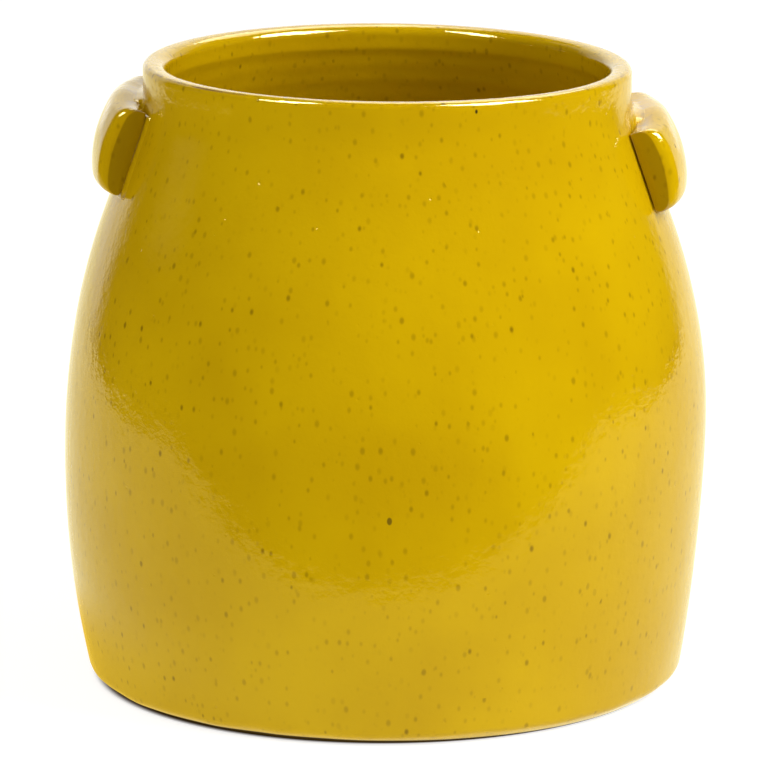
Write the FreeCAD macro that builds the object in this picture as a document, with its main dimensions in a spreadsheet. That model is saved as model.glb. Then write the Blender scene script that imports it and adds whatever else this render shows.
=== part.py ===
import FreeCAD, Part
import math
import os

import Sketcher

# A wheel-thrown stoneware flower pot with two lugs luted to its shoulder.
# Millimetres, +Z up. The origin is the centre of the foot, on the ground. The lugs lie along X.

SIZES = {
    # Outer form of the thrown body, from the foot to the rim
    "pot_height": 260.5,
    "belly_diameter": 270.0,
    "belly_height": 105.0,
    "base_diameter": 250.8,
    "foot_diameter": 235.0,
    "bevel_height": 4.5,
    "rim_diameter": 201.6,
    "rim_band": 9.5,
    "shoulder_straight": 44.0,
    "neck_radius": 40.0,
    # Wall, floor and the turned foot ring
    "wall_thickness": 8.5,
    "floor_thickness": 11.0,
    "foot_ring_width": 12.0,
    "foot_recess": 2.5,
    # Rounded edges of the body
    "rim_outer_edge": 1.2,
    "rim_inner_edge": 5.6,
    "floor_corner": 20.0,
    "bevel_edge": 2.0,
    "foot_edge": 0.8,
    # Lugs: height along the wall, depth out from it, and the angle that they span round the pot
    "lug_height": 39.0,
    "lug_depth": 12.5,
    "lug_span": 37.0,
    "lug_crown": 48.0,
    "lug_corner": 7.5,
    "lug_end_edge": 5.0,
    # Where each lug sits: its centre below the rim, and its bearing from +X
    "left_lug_drop": 33.3,
    "left_lug_bearing": 178.5,
    "right_lug_drop": 38.1,
    "right_lug_bearing": 1.5,
    # Slip that bonds a lug to the wall, squeezed out past the lug all round
    "slip_thickness": 1.0,
    "slip_bead": 2.0,
    "slip_edge": 0.6,
    # Clearance between the bed of slip and the lug that is bonded to it
    "lug_clearance": 0.3,
}

# Sketch references: the origin with the ground line, the pot's axis, and the points of an edge
ORIGIN = -1
AXIS_OF_POT = -2
START = 1
END = 2
CENTRE = 3

FULL_TURN = 360
HALF_TURN = "180 deg"
LUG_REACH = "Sizes.slip_thickness + Sizes.lug_depth"
SAME_PLACE = 1e-3
PARTS_FOLDER = "parts"


def make_sheet(doc):
    """Spreadsheet with one aliased cell for each driving dimension."""
    sheet = doc.addObject("Spreadsheet::Sheet", "Sizes")
    for row, (alias, value) in enumerate(SIZES.items(), start=1):
        sheet.set(f"A{row}", alias)
        sheet.set(f"B{row}", str(value))
        sheet.setAlias(f"B{row}", alias)
    doc.recompute()
    return sheet


def number(item, expression):
    """Present value of an expression on the sheet."""
    value = item.evalExpression(expression)
    return float(getattr(value, "Value", value))


def new_sketch(body, name):
    """Sketch on the body's own XZ plane: X is the radius and Y the height."""
    sketch = body.newObject("Sketcher::SketchObject", name)
    plane = next(item for item in body.Origin.OriginFeatures if item.Role == "XZ_Plane")
    sketch.AttachmentSupport = [(plane, "")]
    sketch.MapMode = "FlatFace"
    return sketch


def vector(point):
    """Sketch point from a radius and a height."""
    return FreeCAD.Vector(point[0], point[1], 0)


def line(sketch, start, end, construction=False):
    """Straight edge between two points."""
    return sketch.addGeometry(Part.LineSegment(vector(start), vector(end)), construction)


def arc(sketch, centre, radius, first, last, construction=False):
    """Arc that runs anticlockwise from the first angle to the last."""
    circle = Part.Circle(vector(centre), FreeCAD.Vector(0, 0, 1), radius)
    return sketch.addGeometry(Part.ArcOfCircle(circle, first, last), construction)


def flank_arc(sketch, centre, radius, low_height):
    """Arc from a height up to that of its centre, upright there: bulging, or hollow for a radius below zero.

    Gives the edge, its lower end, its upper end and the lower end's place.
    """
    dip = math.asin((centre[1] - low_height) / abs(radius))
    low_place = (centre[0] + radius * math.cos(dip), low_height)
    if radius > 0:
        return arc(sketch, centre, radius, -dip, 0), START, END, low_place
    return arc(sketch, centre, -radius, math.pi, math.pi + dip), END, START, low_place


def rule(sketch, *terms):
    """Geometric constraint without a size."""
    sketch.addConstraint(Sketcher.Constraint(*terms))


def dimension(sketch, name, expression, *terms):
    """Constraint whose size is bound to the sheet."""
    index = sketch.addConstraint(Sketcher.Constraint(*terms, number(sketch, expression)))
    sketch.renameConstraint(index, name)
    sketch.setExpression(f"Constraints.{name}", expression)


def joined(sketch, *ends):
    """Points of edges that meet, two by two, each given as an edge and its point."""
    for first, second in zip(ends[::2], ends[1::2]):
        rule(sketch, "Coincident", *first, *second)


def polar(centre, radius, angle):
    """Point at a distance and an angle from a centre."""
    return (centre[0] + radius * math.cos(angle), centre[1] + radius * math.sin(angle))


def trace_wall(sketch, name, offset, construction=False):
    """Wall from the belly to the rim, moved outwards by an offset: shoulder, straight, neck and rim band.

    The shoulder arc stands upright at the belly and the neck arc at the rim band. The straight
    between them is their common tangent, and its length sets the radius of the shoulder arc.
    """
    belly_expression = f"Sizes.belly_diameter / 2 + {offset}"
    rim_expression = f"Sizes.rim_diameter / 2 + {offset}"
    neck_expression = f"Sizes.neck_radius - ({offset})"
    belly = (number(sketch, belly_expression), number(sketch, "Sizes.belly_height"))
    rim_top = (number(sketch, rim_expression), number(sketch, "Sizes.pot_height"))
    band_foot = (rim_top[0], rim_top[1] - number(sketch, "Sizes.rim_band"))
    straight = number(sketch, "Sizes.shoulder_straight")
    neck = number(sketch, neck_expression)

    inset = belly[0] - band_foot[0]
    rise = band_foot[1] - belly[1]
    both_radii = (inset ** 2 + rise ** 2 - straight ** 2) / (2 * inset)
    lean = math.atan2(rise, both_radii - inset) - math.atan2(straight, both_radii)
    shoulder = both_radii - neck
    shoulder_centre = (belly[0] - shoulder, belly[1])
    neck_centre = (band_foot[0] + neck, band_foot[1])
    straight_foot = polar(shoulder_centre, shoulder, lean)
    straight_top = polar(neck_centre, neck, math.pi + lean)

    edge = {
        "shoulder": arc(sketch, shoulder_centre, shoulder, 0, lean, construction),
        "straight": line(sketch, straight_foot, straight_top, construction),
        "neck": arc(sketch, neck_centre, neck, math.pi, math.pi + lean, construction),
        "band": line(sketch, band_foot, rim_top, construction),
    }
    rule(sketch, "Horizontal", edge["shoulder"], START, edge["shoulder"], CENTRE)
    rule(sketch, "Tangent", edge["shoulder"], END, edge["straight"], START)
    rule(sketch, "Tangent", edge["straight"], END, edge["neck"], END)
    rule(sketch, "Horizontal", edge["neck"], START, edge["neck"], CENTRE)
    joined(sketch, (edge["neck"], START), (edge["band"], START))
    rule(sketch, "Vertical", edge["band"])
    dimension(sketch, name + "_belly_radius", belly_expression,
              "DistanceX", ORIGIN, START, edge["shoulder"], START)
    dimension(sketch, name + "_belly_height", "Sizes.belly_height",
              "DistanceY", ORIGIN, START, edge["shoulder"], START)
    dimension(sketch, name + "_straight", "Sizes.shoulder_straight", "Distance", edge["straight"])
    dimension(sketch, name + "_neck", neck_expression, "Radius", edge["neck"])
    dimension(sketch, name + "_rim_radius", rim_expression,
              "DistanceX", ORIGIN, START, edge["band"], END)
    dimension(sketch, name + "_rim_height", "Sizes.pot_height",
              "DistanceY", ORIGIN, START, edge["band"], END)
    dimension(sketch, name + "_band", "Sizes.rim_band", "Distance", edge["band"])
    edge.update(belly=belly, rim_top=rim_top, lean=lean, straight_foot=straight_foot)
    return edge


def turn(body, kind, name, sketch, angle=None):
    """Revolution or Groove of a sketch about the pot's axis: a full turn, or an angle about the XZ plane."""
    feature = body.newObject(f"PartDesign::{kind}", name)
    feature.Profile = sketch
    feature.ReferenceAxis = (sketch, ["V_Axis"])
    feature.Angle = FULL_TURN
    if angle:
        feature.Midplane = True
        feature.setExpression("Angle", angle)
    body.Document.recompute()
    return feature


def cut_away(body, name, sketch):
    """Groove round the half of the pot that a lug sits on, with proof that it took material away."""
    before = body.Shape.Volume
    groove = turn(body, "Groove", name, sketch, HALF_TURN)
    if groove.Shape.Volume >= before:
        raise RuntimeError(f"{name} cuts nothing")
    return groove


def round_edges(body, name, expression, wanted):
    """Fillet on the edges of the body's tip for which a test holds."""
    tip = body.Tip
    names = [f"Edge{n}" for n, edge in enumerate(tip.Shape.Edges, start=1) if wanted(edge)]
    if not names:
        raise RuntimeError(f"{name} finds no edges")
    fillet = body.newObject("PartDesign::Fillet", name)
    fillet.Base = (tip, names)
    fillet.setExpression("Radius", expression)
    body.Document.recompute()
    return fillet


def ring(radius, height):
    """Test for a round edge about the pot's axis, at a radius and a height."""
    def test(edge):
        curve = edge.Curve
        if not isinstance(curve, Part.Circle):
            return False
        same_radius = math.isclose(curve.Radius, radius, abs_tol=SAME_PLACE)
        return same_radius and math.isclose(curve.Center.z, height, abs_tol=SAME_PLACE)
    return test


def pot_body(doc, size):
    """Thrown body: one closed wall section turned about the axis, with rounded rim, floor and foot."""
    body = doc.addObject("PartDesign::Body", "pot_body")
    sketch = new_sketch(body, "wall_section")
    outer = trace_wall(sketch, "outer", "0")
    inner = trace_wall(sketch, "inner", "-Sizes.wall_thickness")

    base = (size.base_diameter / 2, size.bevel_height)
    foot = (size.foot_diameter / 2, 0)
    ring_inside = (foot[0] - size.foot_ring_width, 0)
    recess = (ring_inside[0], size.foot_recess)
    floor_height = size.foot_recess + size.floor_thickness

    # One arc from the bevel up to the belly, upright there, and the same arc inside the wall
    narrowing = outer["belly"][0] - base[0]
    rise = outer["belly"][1] - base[1]
    flank_radius = (narrowing ** 2 + rise ** 2) / (2 * narrowing)
    flank_centre = (outer["belly"][0] - flank_radius, outer["belly"][1])
    flank, low, high, _ = flank_arc(sketch, flank_centre, flank_radius, size.bevel_height)
    flank_inside, low, high, floor_edge = flank_arc(
        sketch, flank_centre, flank_radius - size.wall_thickness, floor_height)

    lip = line(sketch, outer["rim_top"], inner["rim_top"])
    floor = line(sketch, floor_edge, (0, floor_height))
    axis = line(sketch, (0, floor_height), (0, size.foot_recess))
    underside = line(sketch, (0, size.foot_recess), recess)
    ring_wall = line(sketch, recess, ring_inside)
    tread = line(sketch, ring_inside, foot)
    bevel = line(sketch, foot, base)

    joined(sketch, (outer["band"], END), (lip, START), (lip, END), (inner["band"], END),
           (inner["shoulder"], START), (flank_inside, high), (flank_inside, low), (floor, START),
           (floor, END), (axis, START), (axis, END), (underside, START), (underside, END), (ring_wall, START),
           (ring_wall, END), (tread, START), (tread, END), (bevel, START), (bevel, END), (flank, low),
           (flank, high), (outer["shoulder"], START), (flank, CENTRE), (flank_inside, CENTRE))
    rule(sketch, "Horizontal", flank, high, flank, CENTRE)
    rule(sketch, "Horizontal", floor)
    rule(sketch, "PointOnObject", axis, START, AXIS_OF_POT)
    rule(sketch, "PointOnObject", axis, END, AXIS_OF_POT)
    rule(sketch, "Horizontal", underside)
    rule(sketch, "Vertical", ring_wall)
    rule(sketch, "Horizontal", tread)
    dimension(sketch, "base_radius", "Sizes.base_diameter / 2", "DistanceX", ORIGIN, START, bevel, END)
    dimension(sketch, "bevel_height", "Sizes.bevel_height", "DistanceY", ORIGIN, START, bevel, END)
    dimension(sketch, "foot_radius", "Sizes.foot_diameter / 2", "DistanceX", ORIGIN, START, tread, END)
    rule(sketch, "PointOnObject", tread, END, ORIGIN)
    dimension(sketch, "ring_width", "Sizes.foot_ring_width", "Distance", tread)
    dimension(sketch, "recess", "Sizes.foot_recess", "Distance", ring_wall)
    dimension(sketch, "floor_thickness", "Sizes.floor_thickness", "Distance", axis)

    turn(body, "Revolution", "thrown_wall", sketch)
    rim_radius = size.rim_diameter / 2
    inner_rim_radius = rim_radius - size.wall_thickness
    round_edges(body, "rim_outer_round", "min(Sizes.rim_outer_edge; Sizes.wall_thickness / 4)",
                ring(rim_radius, size.pot_height))
    round_edges(body, "rim_inner_round", "min(Sizes.rim_inner_edge; Sizes.wall_thickness * 2 / 3)",
                ring(inner_rim_radius, size.pot_height))
    round_edges(body, "floor_round", "Sizes.floor_corner", ring(floor_edge[0], floor_height))
    round_edges(body, "bevel_round", "min(Sizes.bevel_edge; Sizes.bevel_height / 2)", ring(*base))
    round_edges(body, "foot_outer_round", "Sizes.foot_edge", ring(*foot))
    round_edges(body, "foot_inner_round", "min(Sizes.foot_edge; Sizes.foot_recess / 2)", ring(*ring_inside))
    return body


def reach_line(sketch, drop):
    """Construction line out from the shoulder, square to its straight, as far as the crown of a lug.

    Gives the line, the straight, its lean, and a function for points given from the line's foot.
    """
    wall = trace_wall(sketch, "wall", "0", construction=True)
    seat_expression = f"Sizes.pot_height - Sizes.{drop}"
    lean = wall["lean"]
    foot = wall["straight_foot"]
    seat_height = number(sketch, seat_expression)
    seat = (foot[0] - (seat_height - foot[1]) * math.tan(lean), seat_height)

    def beside(outwards, upwards):
        """Point given from the line's foot, outwards from the wall and upwards along it."""
        return polar(polar(seat, outwards, lean), upwards, lean + math.pi / 2)

    reach = line(sketch, seat, beside(number(sketch, LUG_REACH), 0), construction=True)
    rule(sketch, "PointOnObject", reach, START, wall["straight"])
    rule(sketch, "Perpendicular", reach, wall["straight"])
    dimension(sketch, "seat_height", seat_expression, "DistanceY", ORIGIN, START, reach, START)
    dimension(sketch, "reach", LUG_REACH, "Distance", reach)
    return reach, wall["straight"], lean, beside


def lug_block(body, drop):
    """Crowned block across the shoulder, square to its straight and sunk into the wall."""
    sketch = new_sketch(body, "lug_section")
    reach, straight, lean, beside = reach_line(sketch, drop)
    half_height = number(sketch, "Sizes.lug_height") / 2
    depth = number(sketch, LUG_REACH)
    crown = number(sketch, "Sizes.lug_crown")
    inside = number(sketch, "Sizes.wall_thickness")

    # The crown's arc is square to the reach line, and its highest point is that line's end
    half_angle = math.asin(half_height / crown)
    crown_centre = beside(depth - crown, 0)
    shoulder_depth = depth - crown + crown * math.cos(half_angle)
    face = arc(sketch, crown_centre, crown, lean - half_angle, lean + half_angle)
    top = line(sketch, beside(shoulder_depth, half_height), beside(-inside, half_height))
    back = line(sketch, beside(-inside, half_height), beside(-inside, -half_height))
    bottom = line(sketch, beside(-inside, -half_height), beside(shoulder_depth, -half_height))

    joined(sketch, (face, END), (top, START), (top, END), (back, START),
           (back, END), (bottom, START), (bottom, END), (face, START))
    rule(sketch, "PointOnObject", reach, END, face)
    rule(sketch, "PointOnObject", face, CENTRE, reach)
    rule(sketch, "Symmetric", face, START, face, END, reach)
    rule(sketch, "Parallel", top, reach)
    rule(sketch, "Parallel", bottom, reach)
    rule(sketch, "Perpendicular", back, reach)
    dimension(sketch, "crown", "Sizes.lug_crown", "Radius", face)
    dimension(sketch, "height", "Sizes.lug_height", "Distance", back)
    dimension(sketch, "inside", "Sizes.wall_thickness", "Distance", back, START, straight)
    return turn(body, "Revolution", "block", sketch, "Sizes.lug_span * 1 deg")


def clear_of_wall(body, offset):
    """Cuts away all that lies inside the wall's outer face, moved outwards by an offset."""
    sketch = new_sketch(body, "wall_clearance")
    wall = trace_wall(sketch, "wall", offset)
    belly_height = wall["belly"][1]
    rim_height = wall["rim_top"][1]
    top = line(sketch, wall["rim_top"], (0, rim_height))
    axis = line(sketch, (0, rim_height), (0, belly_height))
    bottom = line(sketch, (0, belly_height), wall["belly"])
    joined(sketch, (wall["band"], END), (top, START), (top, END), (axis, START),
           (axis, END), (bottom, START), (bottom, END), (wall["shoulder"], START))
    rule(sketch, "Horizontal", top)
    rule(sketch, "PointOnObject", axis, START, AXIS_OF_POT)
    rule(sketch, "PointOnObject", axis, END, AXIS_OF_POT)
    rule(sketch, "Horizontal", bottom)
    return cut_away(body, "wall_seat", sketch)


def along_pot(edge):
    """Test for an edge that runs round the pot at one height."""
    return edge.BoundBox.ZLength < SAME_PLACE


def is_among(edge, edges):
    """Test for an edge that is one of a list."""
    return any(edge.isSame(other) for other in edges)


def distance_from_axis(edge):
    """Distance from the pot's axis to the middle of an edge."""
    middle = edge.valueAt((edge.FirstParameter + edge.LastParameter) / 2)
    return math.hypot(middle.x, middle.y)


def faces_out(face):
    """Test for a face of a piece on +X that looks away from the pot's axis."""
    normal = face.normalAt(*face.Surface.parameter(face.CenterOfMass))
    return normal.x > abs(normal.y) and normal.x > abs(normal.z)


def set_bearing(body, side):
    """Turns a piece from +X to its lug's bearing."""
    bearing = f"Sizes.{side}_lug_bearing * 1 deg"
    body.Placement.Rotation = FreeCAD.Rotation(FreeCAD.Vector(0, 0, 1), number(body, bearing))
    body.setExpression("Placement.Rotation.Angle", bearing)


def lug(doc, side):
    """Pressed lug: a D-shaped tab bent round the shoulder, with rounded corners and ends."""
    body = doc.addObject("PartDesign::Body", f"{side}_lug")
    lug_block(body, f"{side}_lug_drop")
    crown = max(body.Tip.Shape.Faces, key=lambda face: face.CenterOfMass.x)
    round_edges(body, "long_corners", "Sizes.lug_corner",
                lambda edge: along_pot(edge) and is_among(edge, crown.Edges))
    ends = [face for face in body.Tip.Shape.Faces if isinstance(face.Surface, Part.Plane)]
    backs = [min(face.Edges, key=distance_from_axis) for face in ends]
    rounded = [edge for face in ends for edge in face.Edges if not is_among(edge, backs)]
    round_edges(body, "end_corners", "Sizes.lug_end_edge", lambda edge: is_among(edge, rounded))
    clear_of_wall(body, "Sizes.slip_thickness + Sizes.lug_clearance")
    set_bearing(body, side)
    return body


def slip_skin(body):
    """Skin of slip over the whole shoulder, as long as a lug and its bead, with rounded ends."""
    sketch = new_sketch(body, "skin_section")
    inside = trace_wall(sketch, "inside", "0")
    outside = trace_wall(sketch, "outside", "Sizes.slip_thickness")
    top = line(sketch, inside["rim_top"], outside["rim_top"])
    bottom = line(sketch, inside["belly"], outside["belly"])
    joined(sketch, (inside["band"], END), (top, START), (outside["band"], END), (top, END),
           (inside["shoulder"], START), (bottom, START), (outside["shoulder"], START), (bottom, END))
    bead_angle = "2 * atan(2 * Sizes.slip_bead / Sizes.rim_diameter)"
    turn(body, "Revolution", "skin", sketch, f"Sizes.lug_span * 1 deg + {bead_angle}")
    outer_edges = [edge for face in body.Tip.Shape.Faces if faces_out(face) for edge in face.Edges]
    round_edges(body, "end_round", "min(Sizes.slip_edge; Sizes.slip_thickness / 2)",
                lambda edge: is_among(edge, outer_edges) and not along_pot(edge))


def slip_limit(body, drop):
    """Block as high as a lug and its bead, which draws in from the wall outwards."""
    sketch = new_sketch(body, "limit_section")
    reach, straight, _, beside = reach_line(sketch, drop)
    slope = "Sizes.slip_edge / Sizes.slip_thickness"
    height = "Sizes.lug_height + 2 * Sizes.slip_bead"
    front_expression = f"{height} - 2 * ({LUG_REACH}) * {slope}"
    back_expression = f"{height} + 2 * Sizes.wall_thickness * {slope}"
    half_front = number(sketch, front_expression) / 2
    half_back = number(sketch, back_expression) / 2
    depth = number(sketch, LUG_REACH)
    inside = number(sketch, "Sizes.wall_thickness")
    front = line(sketch, beside(depth, -half_front), beside(depth, half_front))
    top = line(sketch, beside(depth, half_front), beside(-inside, half_back))
    back = line(sketch, beside(-inside, half_back), beside(-inside, -half_back))
    bottom = line(sketch, beside(-inside, -half_back), beside(depth, -half_front))
    joined(sketch, (front, END), (top, START), (top, END), (back, START),
           (back, END), (bottom, START), (bottom, END), (front, START))
    rule(sketch, "Symmetric", front, START, front, END, reach, END)
    rule(sketch, "Perpendicular", front, reach)
    rule(sketch, "Symmetric", back, START, back, END, reach)
    dimension(sketch, "front", front_expression, "Distance", front)
    dimension(sketch, "back", back_expression, "Distance", back)
    dimension(sketch, "inside", "Sizes.wall_thickness", "Distance", back, START, straight)
    turn(body, "Revolution", "limit", sketch, HALF_TURN)


def slip_joint(doc, side):
    """Bed of slip between the wall and a lug: the skin within the limit, with a bead past the lug."""
    skin = doc.addObject("PartDesign::Body", f"{side}_slip_skin")
    slip_skin(skin)
    limit = doc.addObject("PartDesign::Body", f"{side}_slip_limit")
    slip_limit(limit, f"{side}_lug_drop")
    set_bearing(skin, side)
    set_bearing(limit, side)
    bed = doc.addObject("Part::Common", f"{side}_slip_joint")
    bed.Base = skin
    bed.Tool = limit
    return bed


def check(doc, parts):
    """Stops on a failed object, or a sub-part without one sound solid."""
    for item in doc.Objects:
        if "Invalid" in item.State or "Error" in item.State:
            raise RuntimeError(f"{item.Label} failed: {item.State}")
    for part in parts:
        shape = part.Shape
        if shape.isNull() or not shape.isValid() or len(shape.Solids) != 1:
            raise RuntimeError(f"{part.Label} is not one sound solid")
        print(part.Label, "volume", round(shape.Volume), "mm3, faces", len(shape.Faces))


def main():
    doc = FreeCAD.newDocument("flower_pot")
    size = make_sheet(doc)
    parts = [pot_body(doc, size)]
    for side in ("left", "right"):
        parts.append(lug(doc, side))
        parts.append(slip_joint(doc, side))
    doc.recompute()
    check(doc, parts)
    os.makedirs(PARTS_FOLDER, exist_ok=True)
    for part in parts:
        part.Shape.exportStep(f"{PARTS_FOLDER}/{part.Label}.step")


main()
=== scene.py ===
import math
import bmesh
import bpy
from mathutils import Matrix, Vector, noise


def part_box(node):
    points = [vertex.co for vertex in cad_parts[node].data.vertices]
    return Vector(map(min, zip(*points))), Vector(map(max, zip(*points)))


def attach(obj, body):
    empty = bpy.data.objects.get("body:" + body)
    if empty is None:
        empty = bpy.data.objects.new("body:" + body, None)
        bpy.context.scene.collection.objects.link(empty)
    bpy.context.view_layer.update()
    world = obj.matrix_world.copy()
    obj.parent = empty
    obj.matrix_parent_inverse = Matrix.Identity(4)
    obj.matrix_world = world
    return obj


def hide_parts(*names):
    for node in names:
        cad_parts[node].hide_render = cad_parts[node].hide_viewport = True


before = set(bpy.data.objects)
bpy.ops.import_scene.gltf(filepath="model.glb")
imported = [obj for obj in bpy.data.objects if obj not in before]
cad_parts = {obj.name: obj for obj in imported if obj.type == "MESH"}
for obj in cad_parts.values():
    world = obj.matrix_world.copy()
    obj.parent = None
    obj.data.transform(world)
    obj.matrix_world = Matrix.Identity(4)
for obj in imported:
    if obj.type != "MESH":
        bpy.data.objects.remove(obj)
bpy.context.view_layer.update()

# A wheel-thrown stoneware flower pot with a speckled yellow glaze and two lugs luted to its shoulder.
# Metres, +Z up. The origin is the centre of the foot, on the ground. The lugs lie along X.
MM = 0.001
FULL_TURN = 2 * math.pi
QUARTER_TURN = math.pi / 2

# Outer form of the thrown body: its height and belly come from the frame
POT_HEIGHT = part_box("pot_body")[1].z
BELLY_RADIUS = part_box("pot_body")[1].x
BELLY_HEIGHT = 105 * MM
BASE_RADIUS = 125.4 * MM
FOOT_RADIUS = 119 * MM
BEVEL_HEIGHT = 4.5 * MM
RIM_RADIUS = 101.8 * MM
RIM_BAND = 9.5 * MM
SHOULDER_STRAIGHT = 44 * MM
NECK_RADIUS = 40 * MM

# Wall, floor, foot ring and their rounded edges
WALL = 8.5 * MM
FOOT_RECESS = 2.5 * MM
FLOOR_TOP = 13.5 * MM
FOOT_RING = 12 * MM
FLOOR_CORNER = 20 * MM
RIM_OUTER_EDGE = 2.6 * MM
RIM_INNER_EDGE = 4.6 * MM
BEVEL_EDGE = 1.6 * MM
FOOT_EDGE = 0.7 * MM

# Lugs: their section, span and rounded ends, and the least area that is a cut end's
LUG_HEIGHT = 39 * MM
LUG_DEPTH = 14.5 * MM
LUG_CROWN = 48 * MM
LUG_CROWN_RISE = 3 * MM
LUG_CORNER = 7 * MM
LUG_HEEL = 2.2 * MM
LUG_GAP = 1.2 * MM
LUG_SPAN = math.radians(37)
LUG_END_RUN = 4.5 * MM
LUG_END_DROP = 8 * MM
LUG_END_TURN = math.radians(60)
LUG_END_EDGE = 0.5 * MM
LUG_END_AREA = LUG_HEIGHT * LUG_DEPTH / 4

# Slip that bonds a lug: a bed on the wall, thinned towards its ends, and a cove along the lug's top
SLIP_SKIN = 1.0 * MM
SLIP_SUNK = 1.5 * MM
SLIP_BEAD = 1.0 * MM
SLIP_END_ROUND = 2.4 * MM
SLIP_END_RISE = 2.6 * MM
SLIP_END_LEFT = 0.05
SLIP_COVE = 4.5 * MM
SLIP_COVE_STOP = 6 * MM
SLIP_COVE_LOSS = 0.8

# Where each lug sits: its drop below the rim, its bearing from +X, which way round its near end lies, how far
# that end drops, and how far the slip passes it. Under the right lug the slip stops short of it.
LUGS = {
    "left": {"drop": 33.3 * MM, "bearing": math.radians(178.5), "end_drop": 2.8 * MM, "near_end": 1,
             "near_bead": 3.2 * MM},
    "right": {"drop": 38.1 * MM, "bearing": math.radians(0), "end_drop": 4.2 * MM, "near_end": -1,
              "near_bead": -3 * MM},
}

# What the potter's hands left on the whole pot: a drifting axis, a wobble and a rim that drops on the right
DRIFT = 0.9 * MM
DRIFT_TURNS_AT = 100 * MM
DRIFT_STOPS_AT = 150 * MM
WOBBLE = 0.0012
WOBBLE_MEAN = 1.9
WOBBLE_ROUND = 1.3
WOBBLE_UP = 9
RIM_DROP = 1.9 * MM
RIM_DROP_FROM = 100 * MM

# Marks of the hands on the body: throwing rings and a swollen lip inside, and a wavering bevel outside
INSIDE_FROM = 0.35 * WALL
INSIDE_FULL = 0.8 * WALL
RING_PITCH = 7.5 * MM
RING_DEPTH = 0.06 * MM
LIP_HEIGHT = 10 * MM
LIP_RUN = 5 * MM
LIP_SWELL = 1.2 * MM
LIP_UNDERCUT = 0.6 * MM
UNDERCUT_FADES_FROM = 30 * MM
UNDERCUT_FADES_TO = 90 * MM
BEVEL_WAVER = 1.1 * MM
BEVEL_WAVER_TOP = 4 * BEVEL_HEIGHT
BEVEL_WAVER_ROUND = 5.3

# Shallow dents of the lugs and the slip: the seed that gives the same ones each run, how many to a metre, and
# how deep
DENT_SEED = 4
LUG_DENTS = 60
LUG_DENT_DEPTH = 0.25 * MM
SLIP_DENTS = 90
SLIP_DENT_DEPTH = 0.2 * MM

# Where the glaze is thin or unglazed, and where shade is painted: a line along the rim to both sides, the
# foot's edge (unglazed clay with a painted contact shadow) and the lugs' creases (painted shade)
RIM_LINE_DROP = 0.35 * MM
RIM_LINE_HALF = 0.1 * MM
RIM_LINE_FADE = 0.4 * MM
LEFT_LINE_FROM = 0.3
LEFT_LINE_FULL = 0.8
RIGHT_LINE_FROM = 0.5
RIGHT_LINE_FULL = 0.9
RIGHT_LINE_SHARE = 0.6
# How high the foot's dark edge reaches: unglazed clay with a painted contact shadow, highest on the left
FOOT_DARK_MOST = 2.6 * MM
FOOT_DARK_LEAST = 0.8 * MM
FOOT_DARK_FROM = -45 * MM
FOOT_DARK_TO = 110 * MM
FOOT_DARK_BLUR = 0.4 * MM
LUG_CREASE = 4 * MM
UNDER_LUG_CREASE = 3 * MM

# Steps and tolerances of the turned and drawn shapes
TURN_STEPS = 240
BEND_STEPS = 18
END_STEPS = 6
ARC_STEPS_LEAST = 3
WALL_RUN = 2.4 * MM
FLOOR_RUN = 4 * WALL_RUN
UNDERSIDE_RUN = 6 * WALL_RUN
LUG_RUN = 1.4 * MM
EDGE_RUN = 0.4 * MM
INNER_NECK_RUN = 2 * EDGE_RUN
RIM_INNER_RUN = 0.7 * MM
RIM_FLAT_RUN = 1 * MM
RIM_OUTER_RUN = 0.3 * MM
RING_TOLERANCE = 0.01 * MM
MERGE_DISTANCE = 0.001 * MM


def smooth_step(low, high, value):
    """Rises smoothly from 0 at low to 1 at high."""
    share = min(max((value - low) / (high - low), 0), 1)
    return share * share * (3 - 2 * share)


# Wall section: shoulder and neck arcs with a straight as their common tangent, and a flank arc below
RIM_INSET = BELLY_RADIUS - RIM_RADIUS
BAND_FOOT = POT_HEIGHT - RIM_BAND
SHOULDER_RISE = BAND_FOOT - BELLY_HEIGHT
BOTH_RADII = (RIM_INSET ** 2 + SHOULDER_RISE ** 2 - SHOULDER_STRAIGHT ** 2) / (2 * RIM_INSET)
LEAN = math.atan2(SHOULDER_RISE, BOTH_RADII - RIM_INSET) - math.atan2(SHOULDER_STRAIGHT, BOTH_RADII)
SHOULDER_RADIUS = BOTH_RADII - NECK_RADIUS
SHOULDER_CENTRE = (BELLY_RADIUS - SHOULDER_RADIUS, BELLY_HEIGHT)
NECK_CENTRE = (RIM_RADIUS + NECK_RADIUS, BAND_FOOT)
FLANK_NARROWING = BELLY_RADIUS - BASE_RADIUS
FLANK_RADIUS = (FLANK_NARROWING ** 2 + (BELLY_HEIGHT - BEVEL_HEIGHT) ** 2) / (2 * FLANK_NARROWING)
FLANK_CENTRE = (BELLY_RADIUS - FLANK_RADIUS, BELLY_HEIGHT)
STRAIGHT_FOOT = (SHOULDER_CENTRE[0] + SHOULDER_RADIUS * math.cos(LEAN),
                 SHOULDER_CENTRE[1] + SHOULDER_RADIUS * math.sin(LEAN))
STRAIGHT_TOP = (NECK_CENTRE[0] - NECK_RADIUS * math.cos(LEAN),
                NECK_CENTRE[1] - NECK_RADIUS * math.sin(LEAN))
OUTWARDS = Vector((math.cos(LEAN), math.sin(LEAN)))
UPWARDS = Vector((-math.sin(LEAN), math.cos(LEAN)))


def straight_radius(height):
    """Radius of the shoulder's straight at a height."""
    return STRAIGHT_FOOT[0] - (height - STRAIGHT_FOOT[1]) * math.tan(LEAN)


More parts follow.
